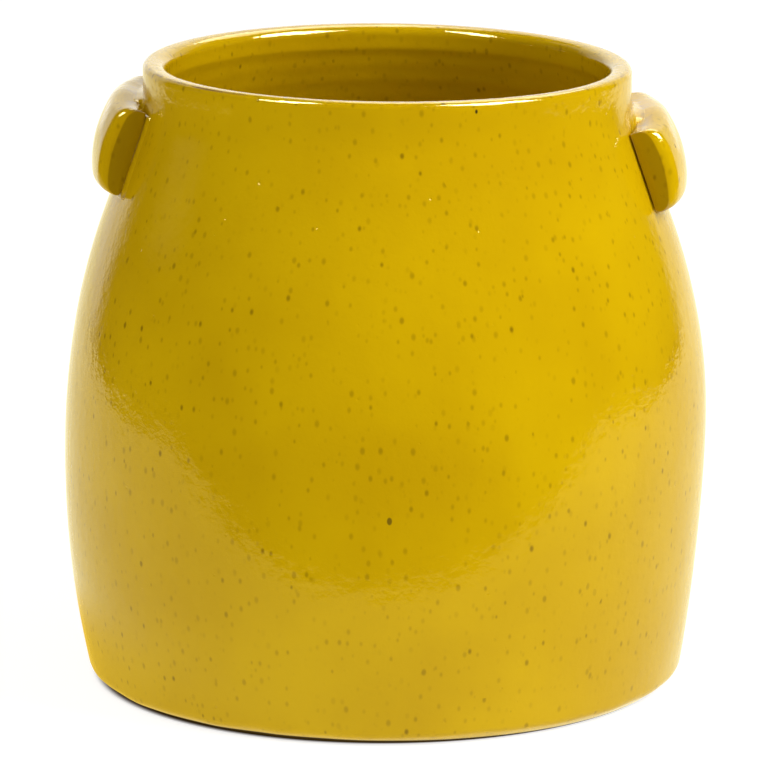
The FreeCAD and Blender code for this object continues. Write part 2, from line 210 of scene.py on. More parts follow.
def wall_radius(height):
    """Radius of the wall's outer face at a height."""
    if height < BELLY_HEIGHT:
        return FLANK_CENTRE[0] + math.sqrt(FLANK_RADIUS ** 2 - (height - BELLY_HEIGHT) ** 2)
    if height < STRAIGHT_FOOT[1]:
        return SHOULDER_CENTRE[0] + math.sqrt(SHOULDER_RADIUS ** 2 - (height - BELLY_HEIGHT) ** 2)
    if height < STRAIGHT_TOP[1]:
        return straight_radius(height)
    if height < BAND_FOOT:
        return NECK_CENTRE[0] - math.sqrt(NECK_RADIUS ** 2 - (height - BAND_FOOT) ** 2)
    return RIM_RADIUS


# Pens that draw a section in the XZ plane, vertex by vertex
def pen_line(bm, vert, end, run=WALL_RUN):
    """Draws a straight stretch to a radius and height and gives its last vertex."""
    whole = Vector((end[0], 0, end[1])) - vert.co
    count = max(1, round(whole.length / run))
    for _ in range(count):
        vert = bmesh.ops.extrude_vert_indiv(bm, verts=[vert])["verts"][0]
        bmesh.ops.translate(bm, verts=[vert], vec=whole / count)
    return vert


def pen_arc(bm, vert, centre, angle, run=WALL_RUN):
    """Draws a round stretch about a centre, anticlockwise above zero, and gives its last vertex."""
    middle = Vector((centre[0], 0, centre[1]))
    count = max(ARC_STEPS_LEAST, round(abs(angle) * (vert.co - middle).length / run))
    drawn = bmesh.ops.spin(bm, geom=[vert], cent=middle, axis=(0, -1, 0), angle=angle, steps=count)
    return next(item for item in drawn["geom_last"] if isinstance(item, bmesh.types.BMVert))


def finish_piece(name, bm, material, slot, *nodes):
    """Makes a piece of a mesh that is in its place, smooth all over, riding on the pot."""
    bmesh.ops.recalc_face_normals(bm, faces=bm.faces)
    mesh = bpy.data.meshes.new(name)
    bm.to_mesh(mesh)
    bm.free()
    mesh.shade_smooth()
    piece = bpy.data.objects.new(name, mesh)
    bpy.context.scene.collection.objects.link(piece)
    mesh.materials.append(material)
    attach(piece, "root")
    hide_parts(*nodes)


def thrown(point):
    """Place of a point of the true form after the potter's hands."""
    x, y, z = point
    drift = -DRIFT * math.sin(math.pi * min(z, DRIFT_STOPS_AT) / DRIFT_TURNS_AT)
    radius = math.hypot(x, y)
    around = Vector((x, y, 0)) / max(radius, MM)
    swell = 1 - WOBBLE * (WOBBLE_MEAN + noise.noise(around * WOBBLE_ROUND + Vector((0, 0, WOBBLE_UP * z))))
    across = (x + RIM_RADIUS) / (2 * RIM_RADIUS)
    drop = RIM_DROP * across ** 2 * smooth_step(RIM_DROP_FROM, POT_HEIGHT, z)
    return Vector((x * swell + drift, y * swell, z - drop))


# Thrown body
def draw_wall(bm):
    """Section of the body from the middle of its floor, over the rim, to the middle of its underside."""
    inner_flank = FLANK_RADIUS - WALL
    corner_height = FLOOR_TOP + FLOOR_CORNER
    corner_reach = math.sqrt((inner_flank - FLOOR_CORNER) ** 2 - (corner_height - BELLY_HEIGHT) ** 2)
    corner = (FLANK_CENTRE[0] + corner_reach, corner_height)
    corner_angle = math.atan2(corner_height - BELLY_HEIGHT, corner_reach)
    inner_straight_top = (NECK_CENTRE[0] - (NECK_RADIUS + WALL) * math.cos(LEAN),
                          NECK_CENTRE[1] - (NECK_RADIUS + WALL) * math.sin(LEAN))
    inner_rim = RIM_RADIUS - WALL
    inner_edge = (inner_rim + RIM_INNER_EDGE, POT_HEIGHT - RIM_INNER_EDGE)
    outer_edge = (RIM_RADIUS - RIM_OUTER_EDGE, POT_HEIGHT - RIM_OUTER_EDGE)
    outer_dip = math.asin((BELLY_HEIGHT - BEVEL_HEIGHT) / FLANK_RADIUS)

    pen = bm.verts.new((0, 0, FLOOR_TOP))
    pen = pen_line(bm, pen, (corner[0], FLOOR_TOP), FLOOR_RUN)
    pen = pen_arc(bm, pen, corner, corner_angle + QUARTER_TURN)
    pen = pen_arc(bm, pen, FLANK_CENTRE, -corner_angle)
    pen = pen_arc(bm, pen, SHOULDER_CENTRE, LEAN)
    pen = pen_line(bm, pen, inner_straight_top)
    pen = pen_arc(bm, pen, NECK_CENTRE, -LEAN, INNER_NECK_RUN)
    pen = pen_line(bm, pen, (inner_rim, inner_edge[1]), INNER_NECK_RUN)
    pen = pen_arc(bm, pen, inner_edge, -QUARTER_TURN, RIM_INNER_RUN)
    pen = pen_line(bm, pen, (outer_edge[0], POT_HEIGHT), RIM_FLAT_RUN)
    pen = pen_arc(bm, pen, outer_edge, -QUARTER_TURN, RIM_OUTER_RUN)
    pen = pen_line(bm, pen, (RIM_RADIUS, BAND_FOOT), RIM_FLAT_RUN)
    pen = pen_arc(bm, pen, NECK_CENTRE, LEAN)
    pen = pen_line(bm, pen, STRAIGHT_FOOT)
    pen = pen_arc(bm, pen, SHOULDER_CENTRE, -LEAN)
    pen = pen_arc(bm, pen, FLANK_CENTRE, -outer_dip)
    pen = pen_line(bm, pen, (FOOT_RADIUS, 0), BASE_RADIUS)
    pen = pen_line(bm, pen, (FOOT_RADIUS - FOOT_RING, 0), FOOT_RING)
    pen = pen_line(bm, pen, (FOOT_RADIUS - FOOT_RING, FOOT_RECESS), FOOT_RECESS)
    pen_line(bm, pen, (0, FOOT_RECESS), UNDERSIDE_RUN)


def ring_edges(bm, radius, height):
    """Edges of the ring at a radius and a height."""
    found = []
    for edge in bm.edges:
        misses = [max(abs(math.hypot(*vert.co.xy) - radius), abs(vert.co.z - height)) for vert in edge.verts]
        if max(misses) <= RING_TOLERANCE:
            found.append(edge)
    return found


def bevel_foot(bm):
    """Rounds the edges of the foot: its bevel, its tread and the recess inside."""
    foot_inside = FOOT_RADIUS - FOOT_RING
    for radius, height, offset in ((BASE_RADIUS, BEVEL_HEIGHT, BEVEL_EDGE), (FOOT_RADIUS, 0, FOOT_EDGE),
                                   (foot_inside, 0, FOOT_EDGE), (foot_inside, FOOT_RECESS, FOOT_EDGE)):
        bmesh.ops.bevel(bm, geom=ring_edges(bm, radius, height), offset=offset, affect="EDGES", segments=3,
                        profile=0.5, material=-1)


def thin_glaze(around, depth, height):
    """How much the clay shows along the rim's outer edge, most of all on the left of the pot."""
    if depth >= RIM_OUTER_EDGE:
        return 0
    off_line = abs(POT_HEIGHT - height - RIM_LINE_DROP)
    to_left = smooth_step(LEFT_LINE_FROM, LEFT_LINE_FULL, -around.x)
    to_right = RIGHT_LINE_SHARE * smooth_step(RIGHT_LINE_FROM, RIGHT_LINE_FULL, around.x)
    return (to_left + to_right) * (1 - smooth_step(RIM_LINE_HALF, RIM_LINE_FADE, off_line))


def inner_relief(x, y, z):
    """How far the inner face is pushed outwards: throwing rings, a swollen lip and an undercut below it."""
    ring_turn = z / RING_PITCH + math.atan2(y, x) / FULL_TURN
    under_lip = max(POT_HEIGHT - LIP_HEIGHT - z, 0)
    at_lip = math.exp(-under_lip / LIP_RUN)
    below_lip = (1 - at_lip) * (1 - smooth_step(UNDERCUT_FADES_FROM, UNDERCUT_FADES_TO, under_lip))
    return RING_DEPTH * math.sin(FULL_TURN * ring_turn) + LIP_UNDERCUT * below_lip - LIP_SWELL * at_lip


def bevel_waver(around, height):
    """How far the outer face near the foot's bevel wavers up or down."""
    above_bevel = smooth_step(BEVEL_HEIGHT, BEVEL_WAVER_TOP, height)
    near_bevel = smooth_step(0, BEVEL_HEIGHT, height) * (1 - above_bevel)
    return BEVEL_WAVER * near_bevel * noise.noise(around * BEVEL_WAVER_ROUND)


def thrown_body(material):
    """Pot body: the section turned about the axis, with its foot bevelled and its wall left as thrown."""
    bm = bmesh.new()
    draw_wall(bm)
    section = list(bm.verts) + list(bm.edges)
    bmesh.ops.spin(bm, geom=section, cent=(0, 0, 0), axis=(0, 0, 1), angle=FULL_TURN, steps=TURN_STEPS,
                   use_merge=True)
    bmesh.ops.remove_doubles(bm, verts=bm.verts, dist=MERGE_DISTANCE)
    bevel_foot(bm)

    thin = bm.verts.layers.float.new("thin_glaze")
    for vert in bm.verts:
        x, y, z = vert.co
        radius = math.hypot(x, y)
        around = Vector((x, y, 0)) / max(radius, MM)
        depth = wall_radius(z) - radius
        vert[thin] = thin_glaze(around, depth, z)
        inside = smooth_step(INSIDE_FROM, INSIDE_FULL, depth) if z > FLOOR_TOP - MM else 0
        waver = (1 - inside) * bevel_waver(around, z)
        vert.co = thrown(Vector((x, y, z + waver)) + around * (inside * inner_relief(x, y, z)))
    finish_piece("glazed_body", bm, material, "body_glaze", "pot_body")


# Lugs and the slip that bonds them
def seat_of(drop):
    """Point of the shoulder's straight at a distance below the rim."""
    height = POT_HEIGHT - drop
    return (straight_radius(height), height)


def beside(seat, outwards, upwards):
    """Radius and height of a point given from a seat, outwards from the wall and upwards along it."""
    return (seat[0] + outwards * math.cos(LEAN) - upwards * math.sin(LEAN),
            seat[1] + outwards * math.sin(LEAN) + upwards * math.cos(LEAN))


def off_wall(point):
    """Distance of a point from the outer face of the shoulder's straight or of the neck."""
    from_top = Vector((math.hypot(point.x, point.y), point.z)) - Vector(STRAIGHT_TOP)
    if from_top.dot(UPWARDS) > 0:
        return NECK_RADIUS - (from_top + Vector(STRAIGHT_TOP) - Vector(NECK_CENTRE)).length
    return from_top.dot(OUTWARDS)


def neck_depth(seat, upwards):
    """Distance outwards from a seat to the lug's back, at a height along the wall that lies in the neck."""
    level = Vector(beside(seat, 0, upwards)) - Vector(NECK_CENTRE)
    along = level.dot(OUTWARDS)
    return -along - math.sqrt(along ** 2 - level.length_squared + (NECK_RADIUS - LUG_GAP) ** 2)


def seat_frame(seat, angle):
    """Frame on the wall at a seat and an angle from +X: X outwards, Y round the pot, Z up the wall."""
    return (Matrix.Rotation(angle, 4, "Z") @ Matrix.Translation((seat[0], 0, seat[1]))
            @ Matrix.Rotation(-LEAN, 4, "Y"))


def bend_round(bm, foot, stations):
    """Carries the drawn section round the pot and closes its ends.

    A station is an angle from +X, and how much of the section's depth and height from its foot is left there.
    """
    section = [item for item in [*bm.verts, *bm.edges] if not item.link_faces]
    before = None
    for after in stations:
        if before is None:
            before = (0, 1, 1)
            verts = [item for item in section if isinstance(item, bmesh.types.BMVert)]
            bmesh.ops.rotate(bm, verts=verts, cent=(0, 0, 0), matrix=Matrix.Rotation(after[0], 3, "Z"))
        else:
            turned = bmesh.ops.spin(bm, geom=section, cent=(0, 0, 0), axis=(0, 0, 1),
                                    angle=after[0] - before[0], steps=1)
            section = turned["geom_last"]
            verts = [item for item in section if isinstance(item, bmesh.types.BMVert)]
        bmesh.ops.scale(bm, verts=verts, vec=(after[1] / before[1], 1, after[2] / before[2]),
                        space=seat_frame(foot, after[0]).inverted())
        before = after
    bmesh.ops.holes_fill(bm, edges=[edge for edge in bm.edges if edge.is_boundary], sides=0)
    bmesh.ops.recalc_face_normals(bm, faces=bm.faces)


def set_by_hand(bm, bearing, dents, dent_depth):
    """Turns a mesh to its bearing about the pot's axis, and leaves it dented and moved with the pot."""
    bmesh.ops.rotate(bm, verts=bm.verts, cent=(0, 0, 0), matrix=Matrix.Rotation(bearing, 3, "Z"))
    for vert in bm.verts:
        push = noise.noise_vector(vert.co * dents) * dent_depth
        vert.co = thrown(vert.co + push)


def height_left(side, angle):
    """Share of a lug's height that is left at an angle from its middle."""
    towards_near = angle * LUGS[side]["near_end"] / (LUG_SPAN / 2)
    return 1 - LUGS[side]["end_drop"] / LUG_HEIGHT * smooth_step(0, 1, towards_near)


def lug_stations(side, seat):
    """Stations of a lug from end to end, with its depth rounded off towards both."""
    plain = LUG_SPAN / 2 - LUG_END_RUN * math.sin(LUG_END_TURN) / seat[0]
    half = [(plain * step / BEND_STEPS, 1) for step in range(BEND_STEPS + 1)]
    for step in range(1, END_STEPS + 1):
        turn = LUG_END_TURN * step / END_STEPS
        lost = LUG_END_DROP * (1 - math.cos(turn)) / LUG_DEPTH
        half.append((plain + LUG_END_RUN * math.sin(turn) / seat[0], 1 - lost))
    whole = [(-angle, depth) for angle, depth in reversed(half[1:])] + half
    return [(angle, depth, height_left(side, angle)) for angle, depth in whole]


def draw_lug(bm, seat):
    """Section of a lug: a rounded heel, two corners, a crown between them and a back that fits the wall."""
    half = LUG_HEIGHT / 2
    corner_up = half - LUG_CORNER
    crown = LUG_DEPTH - LUG_CROWN
    low_rise = corner_up + LUG_CROWN_RISE
    top_rise = corner_up - LUG_CROWN_RISE
    low_out = crown + math.sqrt((LUG_CROWN - LUG_CORNER) ** 2 - low_rise ** 2)
    top_out = crown + math.sqrt((LUG_CROWN - LUG_CORNER) ** 2 - top_rise ** 2)
    low_angle = math.atan2(low_rise, low_out - crown)
    top_angle = math.atan2(top_rise, top_out - crown)
    top_back = beside(seat, neck_depth(seat, half), half)
    neck_angle = LEAN - math.asin((NECK_CENTRE[1] - top_back[1]) / (NECK_RADIUS - LUG_GAP))

    start = beside(seat, LUG_GAP, LUG_HEEL - half)
    first = bm.verts.new((start[0], 0, start[1]))
    pen = pen_arc(bm, first, beside(seat, LUG_GAP + LUG_HEEL, LUG_HEEL - half), QUARTER_TURN, LUG_RUN / 2)
    pen = pen_line(bm, pen, beside(seat, low_out, -half), LUG_RUN)
    pen = pen_arc(bm, pen, beside(seat, low_out, -corner_up), QUARTER_TURN - low_angle, LUG_RUN)
    pen = pen_arc(bm, pen, beside(seat, crown, LUG_CROWN_RISE), low_angle + top_angle, LUG_RUN)
    pen = pen_arc(bm, pen, beside(seat, top_out, corner_up), QUARTER_TURN - top_angle, LUG_RUN)
    pen = pen_line(bm, pen, top_back, LUG_RUN)
    pen = pen_arc(bm, pen, NECK_CENTRE, neck_angle)
    bm.edges.new((pen, first))


def cut_ends(bm):
    """Flat-cut end faces of a lug."""
    return [face for face in bm.faces if face.calc_area() > LUG_END_AREA]


def pressed_lug(side, material):
    """Lug: a crowned section bent round the shoulder, its flat-cut ends rounded only towards the crown."""
    seat = seat_of(LUGS[side]["drop"])
    bm = bmesh.new()
    draw_lug(bm, seat)
    bend_round(bm, beside(seat, 0, -LUG_HEIGHT / 2), lug_stations(side, seat))
    rims = [edge for face in cut_ends(bm) for edge in face.edges]
    bmesh.ops.bevel(bm, geom=rims, offset=LUG_END_EDGE, affect="EDGES", segments=2, profile=0.5, material=-1)
    poked = bmesh.ops.poke(bm, faces=cut_ends(bm))

    # Marks for the glaze: the cut ends, darkened partly as painted shade, and the crease along the wall,
    # darkened as painted shade
    cut_end = bm.verts.layers.float.new("cut_end")
    crease = bm.verts.layers.float.new("crease")
    for vert in {vert for face in poked["faces"] for vert in face.verts}:
        vert[cut_end] = 1
    # Painted shade in the crease where the lug meets the wall, not on its cut ends
    for vert in bm.verts:
        away = off_wall(vert.co) - SLIP_COVE
        vert[crease] = (1 - smooth_step(0, LUG_CREASE, away)) * (1 - vert[cut_end])
    set_by_hand(bm, LUGS[side]["bearing"], LUG_DENTS, LUG_DENT_DEPTH)
    finish_piece(f"{side}_lug_pressed", bm, material, "lug_glaze", f"{side}_lug")


def draw_slip_bed(bm, seat, top):
    """Section of the bed of slip under a lug: a thin skin on the wall, with a rounded lower edge."""
    low = -LUG_HEIGHT / 2 - SLIP_BEAD
    start = beside(seat, -SLIP_SUNK, low)
    first = bm.verts.new((start[0], 0, start[1]))
    pen = pen_line(bm, first, beside(seat, 0, low), SLIP_SUNK)
    pen = pen_arc(bm, pen, beside(seat, 0, low + SLIP_SKIN), QUARTER_TURN, EDGE_RUN)
    pen = pen_line(bm, pen, beside(seat, SLIP_SKIN, top), LUG_RUN)
    pen = pen_line(bm, pen, beside(seat, -SLIP_SUNK, top), SLIP_SUNK)
    bm.edges.new((pen, first))


def draw_slip_cove(bm, seat):
    """Section of the slip smoothed into the corner between a lug's top and the neck."""
    half = LUG_HEIGHT / 2
    start = beside(seat, -SLIP_SUNK, half - SLIP_SUNK)
    first = bm.verts.new((start[0], 0, start[1]))
    pen = pen_line(bm, first, beside(seat, SLIP_COVE, half - SLIP_SUNK), LUG_RUN)
    pen = pen_line(bm, pen, beside(seat, SLIP_COVE, half), LUG_RUN)
    pen = pen_arc(bm, pen, beside(seat, SLIP_COVE, half + SLIP_COVE), -QUARTER_TURN, EDGE_RUN)
    pen = pen_line(bm, pen, beside(seat, -SLIP_SUNK, half + SLIP_COVE), LUG_RUN)
    bm.edges.new((pen, first))


def bed_stations(low_end, high_end, seat):
    """Stations of the bed of slip between two angles, thinned and rounded off towards both."""
    rounding = SLIP_END_ROUND / seat[0]
    whole = LUG_HEIGHT + SLIP_BEAD
    rounded = []
    for step in range(END_STEPS + 1):
        left = max(math.sqrt(1 - (step / END_STEPS) ** 2), SLIP_END_LEFT)
        rounded.append((rounding * step / END_STEPS, left, 1 - SLIP_END_RISE * (1 - left) / whole))
    first = [(low_end + rounding - out, depth, height) for out, depth, height in reversed(rounded)]
    last = [(high_end - rounding + out, depth, height) for out, depth, height in rounded]
    run = high_end - low_end - 2 * rounding
    between = [(low_end + rounding + run * step / BEND_STEPS, 1, 1) for step in range(1, BEND_STEPS)]
    return first + between + last


def cove_stations(side, seat):
    """Stations of the cove of slip, which thins out before it reaches the lug's ends."""
    reach = LUG_SPAN / 2 - SLIP_COVE_STOP / seat[0]
    sinking = (SLIP_COVE + SLIP_SUNK) / (LUG_HEIGHT + SLIP_COVE)
    stations = []
    for step in range(-BEND_STEPS, BEND_STEPS + 1):
        angle = reach * step / BEND_STEPS
        thinned = smooth_step(reach / 2, reach, abs(angle))
        height = height_left(side, angle) * (1 - sinking * thinned)
        stations.append((angle, 1 - SLIP_COVE_LOSS * thinned, height))
    return stations


def luting_slip(side, material):
    """Slip that bonds a lug: a thin bed on the wall under it, and a cove along its top."""
    place = LUGS[side]
    seat = seat_of(place["drop"])
    half = LUG_HEIGHT / 2
    near = LUG_SPAN / 2 + place["near_bead"] / seat[0]
    far = LUG_SPAN / 2 + SLIP_BEAD / seat[0]
    bm = bmesh.new()
    draw_slip_bed(bm, seat, half - place["end_drop"] - SLIP_SKIN)
    ends = (-far, near) if place["near_end"] > 0 else (-near, far)
    bend_round(bm, beside(seat, 0, half), bed_stations(*ends, seat))
    draw_slip_cove(bm, seat)
    bend_round(bm, beside(seat, 0, -half), cove_stations(side, seat))

    # Painted shade under the lug and in the cove along its top
    crease = bm.verts.layers.float.new("crease")
    for vert in bm.verts:
        above = (Vector((math.hypot(*vert.co.xy), vert.co.z)) - Vector(seat)).dot(UPWARDS)
        under_lug = smooth_step(half - UNDER_LUG_CREASE, half, -above)
        in_cove = smooth_step(SLIP_COVE / 4, SLIP_COVE, off_wall(vert.co))
        vert[crease] = max(under_lug, in_cove)
    set_by_hand(bm, place["bearing"], SLIP_DENTS, SLIP_DENT_DEPTH)
    finish_piece(f"{side}_luting_slip", bm, material, "slip_glaze", f"{side}_slip_joint")


# Nodes of the materials
def put(tree, kind, inputs=(), **settings):
    """Adds a node with its settings and inputs, each a plain value or another node's socket."""
    node = tree.nodes.new(kind)
    for key, value in settings.items():
        setattr(node, key, value)
    for key, value in dict(inputs).items():
        if isinstance(value, bpy.types.NodeSocket):
            tree.links.new(value, node.inputs[key])
        else:
            node.inputs[key].default_value = value
    return node


def fade(tree, value, low, high, first=0.0, last=1.0):
    """Smooth step of a value from first at low to last at high."""
    inputs = {"Value": value, "From Min": low, "From Max": high, "To Min": first, "To Max": last}
    return put(tree, "ShaderNodeMapRange", inputs, interpolation_type="SMOOTHSTEP").outputs["Result"]


def math_of(tree, operation, *values):
    """Sum, difference or other operation of two or three values."""
    return put(tree, "ShaderNodeMath", enumerate(values), operation=operation).outputs["Value"]


def times(tree, first, second):
    """Product of two values."""
    return math_of(tree, "MULTIPLY", first, second)


def mix_colour(tree, share, first, second):
    """Colour between two colours, which are sockets 6 and 7 of the node and come out of its socket 2."""
    node = put(tree, "ShaderNodeMix", {0: share, 6: first, 7: second}, data_type="RGBA")
    return node.outputs[2]


def noise_at(tree, where, scale, detail=2.0, roughness=0.5):
    """Noise of a scale at a place, about 0.5."""
    inputs = {"Vector": where, "Scale": scale, "Detail": detail, "Roughness": roughness}
    return put(tree, "ShaderNodeTexNoise", inputs).outputs["Fac"]


def stretched(tree, where, scale):
    """Place scaled by its own amount along each axis."""
    return put(tree, "ShaderNodeMapping", {"Vector": where, "Scale": scale}).outputs["Vector"]


# Colours of the glaze, of the clay and slip that show through it, and of painted shade on the lugs' cut ends,
# the foot's edge and the creases
YELLOW = (0.60, 0.378, 0.001, 1)
OCHRE = (0.505, 0.302, 0.001, 1)
BROWN_SPECK = (0.15, 0.075, 0.002, 1)
DARK_SPECK = (0.02, 0.012, 0.006, 1)
BARE_CLAY = (0.17, 0.09, 0.04, 1)
# Cut ends: partly glaze thin over cut clay, partly painted shade of the rim's shadow
CUT_END_CLAY_AND_SHADE = (0.17, 0.095, 0.001, 1)
FOOT_CLAY_AND_SHADE = (0.05, 0.028, 0.005, 1)
# Grey laid in the creases round the lugs: painted shade
CREASE_SHADE_GREY = (0.30, 0.22, 0.17, 1)

# Marks on a glaze: the piece's attribute, the colour laid there, how much of it, and whether in patches. The
# cut ends' mark is partly painted shade; the creases' marks are painted shade.
THIN_RIM_MARK = ("thin_glaze", BARE_CLAY, 0.85, True)
CUT_END_SHADE_MARK = ("cut_end", CUT_END_CLAY_AND_SHADE, 0.5, False)
LUG_CREASE_SHADE_MARK = ("crease", CREASE_SHADE_GREY, 0.7, True)
SLIP_CREASE_SHADE_MARK = ("crease", CREASE_SHADE_GREY, 0.8, True)
PATCHES = 110
PATCHES_FROM = 0.4
PATCHES_FULL = 0.65

# Tone of the glaze: broad clouds and thin upright streaks, as scales and shares
CLOUDS = 14
CLOUD_SHARE = 0.9
STREAKS = (70, 70, 9)
STREAK_SHARE = 0.1
TONE_YELLOW = 0.2
TONE_OCHRE = 0.8
FINE_DETAIL = 3

# Specks and pinholes: cells to a metre, radius in cells, blur in radii, and the share of cells that have one
SOFT_SPECKS = {"scale": 270, "radius": 0.16, "soft": 0.9, "share": 0.95}
BROWN_SPECKS = {"scale": 225, "radius": 0.125, "soft": 0.85, "share": 0.95}
DARK_SPECKS = {"scale": 60, "radius": 0.04, "soft": 0.35, "share": 0.2}
PINHOLES = {"scale": 170, "radius": 0.06, "soft": 0.6, "share": 0.5}
SOFT_SPECK_STRENGTH = 0.45
BROWN_SPECK_STRENGTH = 0.75
SPECK_SQUEEZE = 0.65
SPECK_LEAST = 0.6
SPECK_CONTRAST = 1.5

# Gloss and relief of the glaze: broad waves, fine peel and pinholes, their heights as multiples of the relief
GLAZE_ROUGHNESS = 0.05
GLAZE_IOR = 1.5
GLAZE_SHINE = 0.5
GLAZE_TINT = (1, 0.85, 0.35, 1)
RELIEF = 0.15 * MM
WAVES = 28
WAVE_HEIGHT = 3.0
PEEL = 190
PEEL_HEIGHT = 1.5
PEEL_ROUGHNESS = 0.6
PINHOLE_DEPTH = 0.9


def specks(tree, where, scale, radius, soft, share):
    """Mask of round specks in some of the cells, each of its own size and strength."""
    cells = put(tree, "ShaderNodeTexVoronoi", {"Vector": where, "Scale": scale})
    parts = put(tree, "ShaderNodeSeparateColor", {"Color": cells.outputs["Color"]})
    own_radius = math_of(tree, "MULTIPLY_ADD", parts.outputs["Green"], radius, SPECK_LEAST * radius)
    gap = math_of(tree, "SUBTRACT", own_radius, cells.outputs["Distance"])
    shape = fade(tree, gap, -soft * radius, soft * radius)
    chosen = math_of(tree, "LESS_THAN", parts.outputs["Red"], share)
    strength = math_of(tree, "POWER", parts.outputs["Blue"], SPECK_CONTRAST)
    return times(tree, times(tree, shape, chosen), strength)


def speckled_colour(tree, where):
    """Colour of the glaze: yellow to ochre in clouds and streaks, over soft, brown and dark specks."""
    clouds = noise_at(tree, where, CLOUDS, FINE_DETAIL)
    streaks = noise_at(tree, stretched(tree, where, STREAKS), 1)
    tone = math_of(tree, "ADD", times(tree, clouds, CLOUD_SHARE), times(tree, streaks, STREAK_SHARE))
    colour = mix_colour(tree, fade(tree, tone, TONE_YELLOW, TONE_OCHRE), YELLOW, OCHRE)
    upright = stretched(tree, where, (1, 1, SPECK_SQUEEZE))
    soft_specks = times(tree, specks(tree, upright, **SOFT_SPECKS), SOFT_SPECK_STRENGTH)
    brown_specks = times(tree, specks(tree, upright, **BROWN_SPECKS), BROWN_SPECK_STRENGTH)
    colour = mix_colour(tree, soft_specks, colour, BROWN_SPECK)
    colour = mix_colour(tree, brown_specks, colour, BROWN_SPECK)
    return mix_colour(tree, specks(tree, upright, **DARK_SPECKS), colour, DARK_SPECK)


def glaze_relief(tree, where):
    """Normal of the glaze's slightly uneven surface: broad waves, fine peel and pinholes."""
    waves = times(tree, noise_at(tree, where, WAVES), WAVE_HEIGHT)
    peel = times(tree, noise_at(tree, where, PEEL, FINE_DETAIL, PEEL_ROUGHNESS), PEEL_HEIGHT)
    pinholes = times(tree, specks(tree, where, **PINHOLES), PINHOLE_DEPTH)
    height = math_of(tree, "SUBTRACT", math_of(tree, "ADD", waves, peel), pinholes)
    bump = put(tree, "ShaderNodeBump", {"Height": height, "Distance": RELIEF, "Strength": 1.0})
    return bump.outputs["Normal"]


def foot_dark_edge(tree, where):
    """Mask of the foot's dark edge, unglazed clay with a painted contact shadow over it, which is higher on
    the left of the pot.
    """
    axes = put(tree, "ShaderNodeSeparateXYZ", {"Vector": where})
    edge = fade(tree, axes.outputs["X"], FOOT_DARK_FROM, FOOT_DARK_TO, FOOT_DARK_MOST, FOOT_DARK_LEAST)
    over = math_of(tree, "SUBTRACT", axes.outputs["Z"], edge)
    return fade(tree, over, FOOT_DARK_BLUR, -FOOT_DARK_BLUR)


def speckled_glaze(name, *marks, down_to_foot=False):
    """Glossy yellow ochre glaze over speckled clay, with its marks and, where it ends, the foot's dark edge
    of unglazed clay and painted contact shadow.
    """
    material = bpy.data.materials.new(name)
    material.use_nodes = True
    tree = material.node_tree
    tree.nodes.clear()
    where = put(tree, "ShaderNodeTexCoord").outputs["Object"]
    colour = speckled_colour(tree, where)
    for attribute, mark_colour, share, in_patches in marks:
        mark = put(tree, "ShaderNodeAttribute", attribute_name=attribute).outputs["Fac"]
        if in_patches:
            patches = fade(tree, noise_at(tree, where, PATCHES, FINE_DETAIL), PATCHES_FROM, PATCHES_FULL)
            mark = times(tree, mark, patches)
        colour = mix_colour(tree, times(tree, mark, share), colour, mark_colour)
    shader = put(tree, "ShaderNodeBsdfPrincipled", {
        "Base Color": colour, "Roughness": GLAZE_ROUGHNESS, "IOR": GLAZE_IOR, "Specular Tint": GLAZE_TINT,
        "Normal": glaze_relief(tree, where)})
    if down_to_foot:
        # The foot's dark edge: unglazed clay and painted contact shadow, with less shine
        dark_edge = foot_dark_edge(tree, where)
        tree.links.new(mix_colour(tree, dark_edge, colour, FOOT_CLAY_AND_SHADE), shader.inputs["Base Color"])
        shine = math_of(tree, "MULTIPLY_ADD", dark_edge, -GLAZE_SHINE, GLAZE_SHINE)
        tree.links.new(shine, shader.inputs["Specular IOR Level"])
    put(tree, "ShaderNodeOutputMaterial", {"Surface": shader.outputs["BSDF"]})
    return material


# Stage: the floor, and the sheets that the gloss mirrors, with their places, glows and colours
WHITE = (1, 1, 1, 1)
WARM = (1, 0.93, 0.62, 1)
CREAM = (1, 0.97, 0.85, 1)
SHEET_ROUGHNESS = 0.9
SHEET_RISE = 0.3 * MM
FLOOR_SIZE = 14.0
FLOOR_GLOW = 0.85
FLOOR_MATT = 0.3
PAPER_LEFT = -1.35
PAPER_RIGHT = 1.43
PAPER_FRONT = -0.295
PAPER_BACK = 1.4
PAPER_FADE = 0.3
PAPER_GLOW = 1.25
BACK_PAPER_GLOW = 1.2
BACKDROP_AT = 2.9
BACKDROP_TOP = 2.2
BACKDROP_GLOW = 1.48
LEFT_WALL_FROM = 0.85
LEFT_WALL_FULL = 1.4
LEFT_WALL_GLOW = 1.08
RIGHT_WALL_FROM = 1.1
RIGHT_WALL_FULL = 1.6
RIGHT_WALL_GLOW = 1.06
CEILING_LEFT = -0.4
CEILING_FULL = 0.0
CEILING_FRONT = 0.8
CEILING_GLOW = 6.5
CARD_AT = -1.6
CARD_FRONT = -0.2
CARD_FRONT_FULL = 0.3
CARD_BACK = 0.9
CARD_BACK_FULL = 0.35
CARD_LOW = 0.4
CARD_TOP = 1.2
CARD_HEIGHT_FULL = 0.7
CARD_GLOW = 0.35

# Painted shadow and bounce light near the pot: a place on a sheet, the colour there, and the reaches at which
# it begins to fade and is gone
FOOT_SHADOW = ((-2.2 * MM, 1.2 * MM, 0), (0.04, 0.02, 0.005, 1),
               FOOT_RADIUS - 1 * MM, FOOT_RADIUS + 3.5 * MM)
POT_BOUNCE = ((-50 * MM, 30 * MM, 0), (0.85, 0.58, 0.08, 1), 90 * MM, 170 * MM)


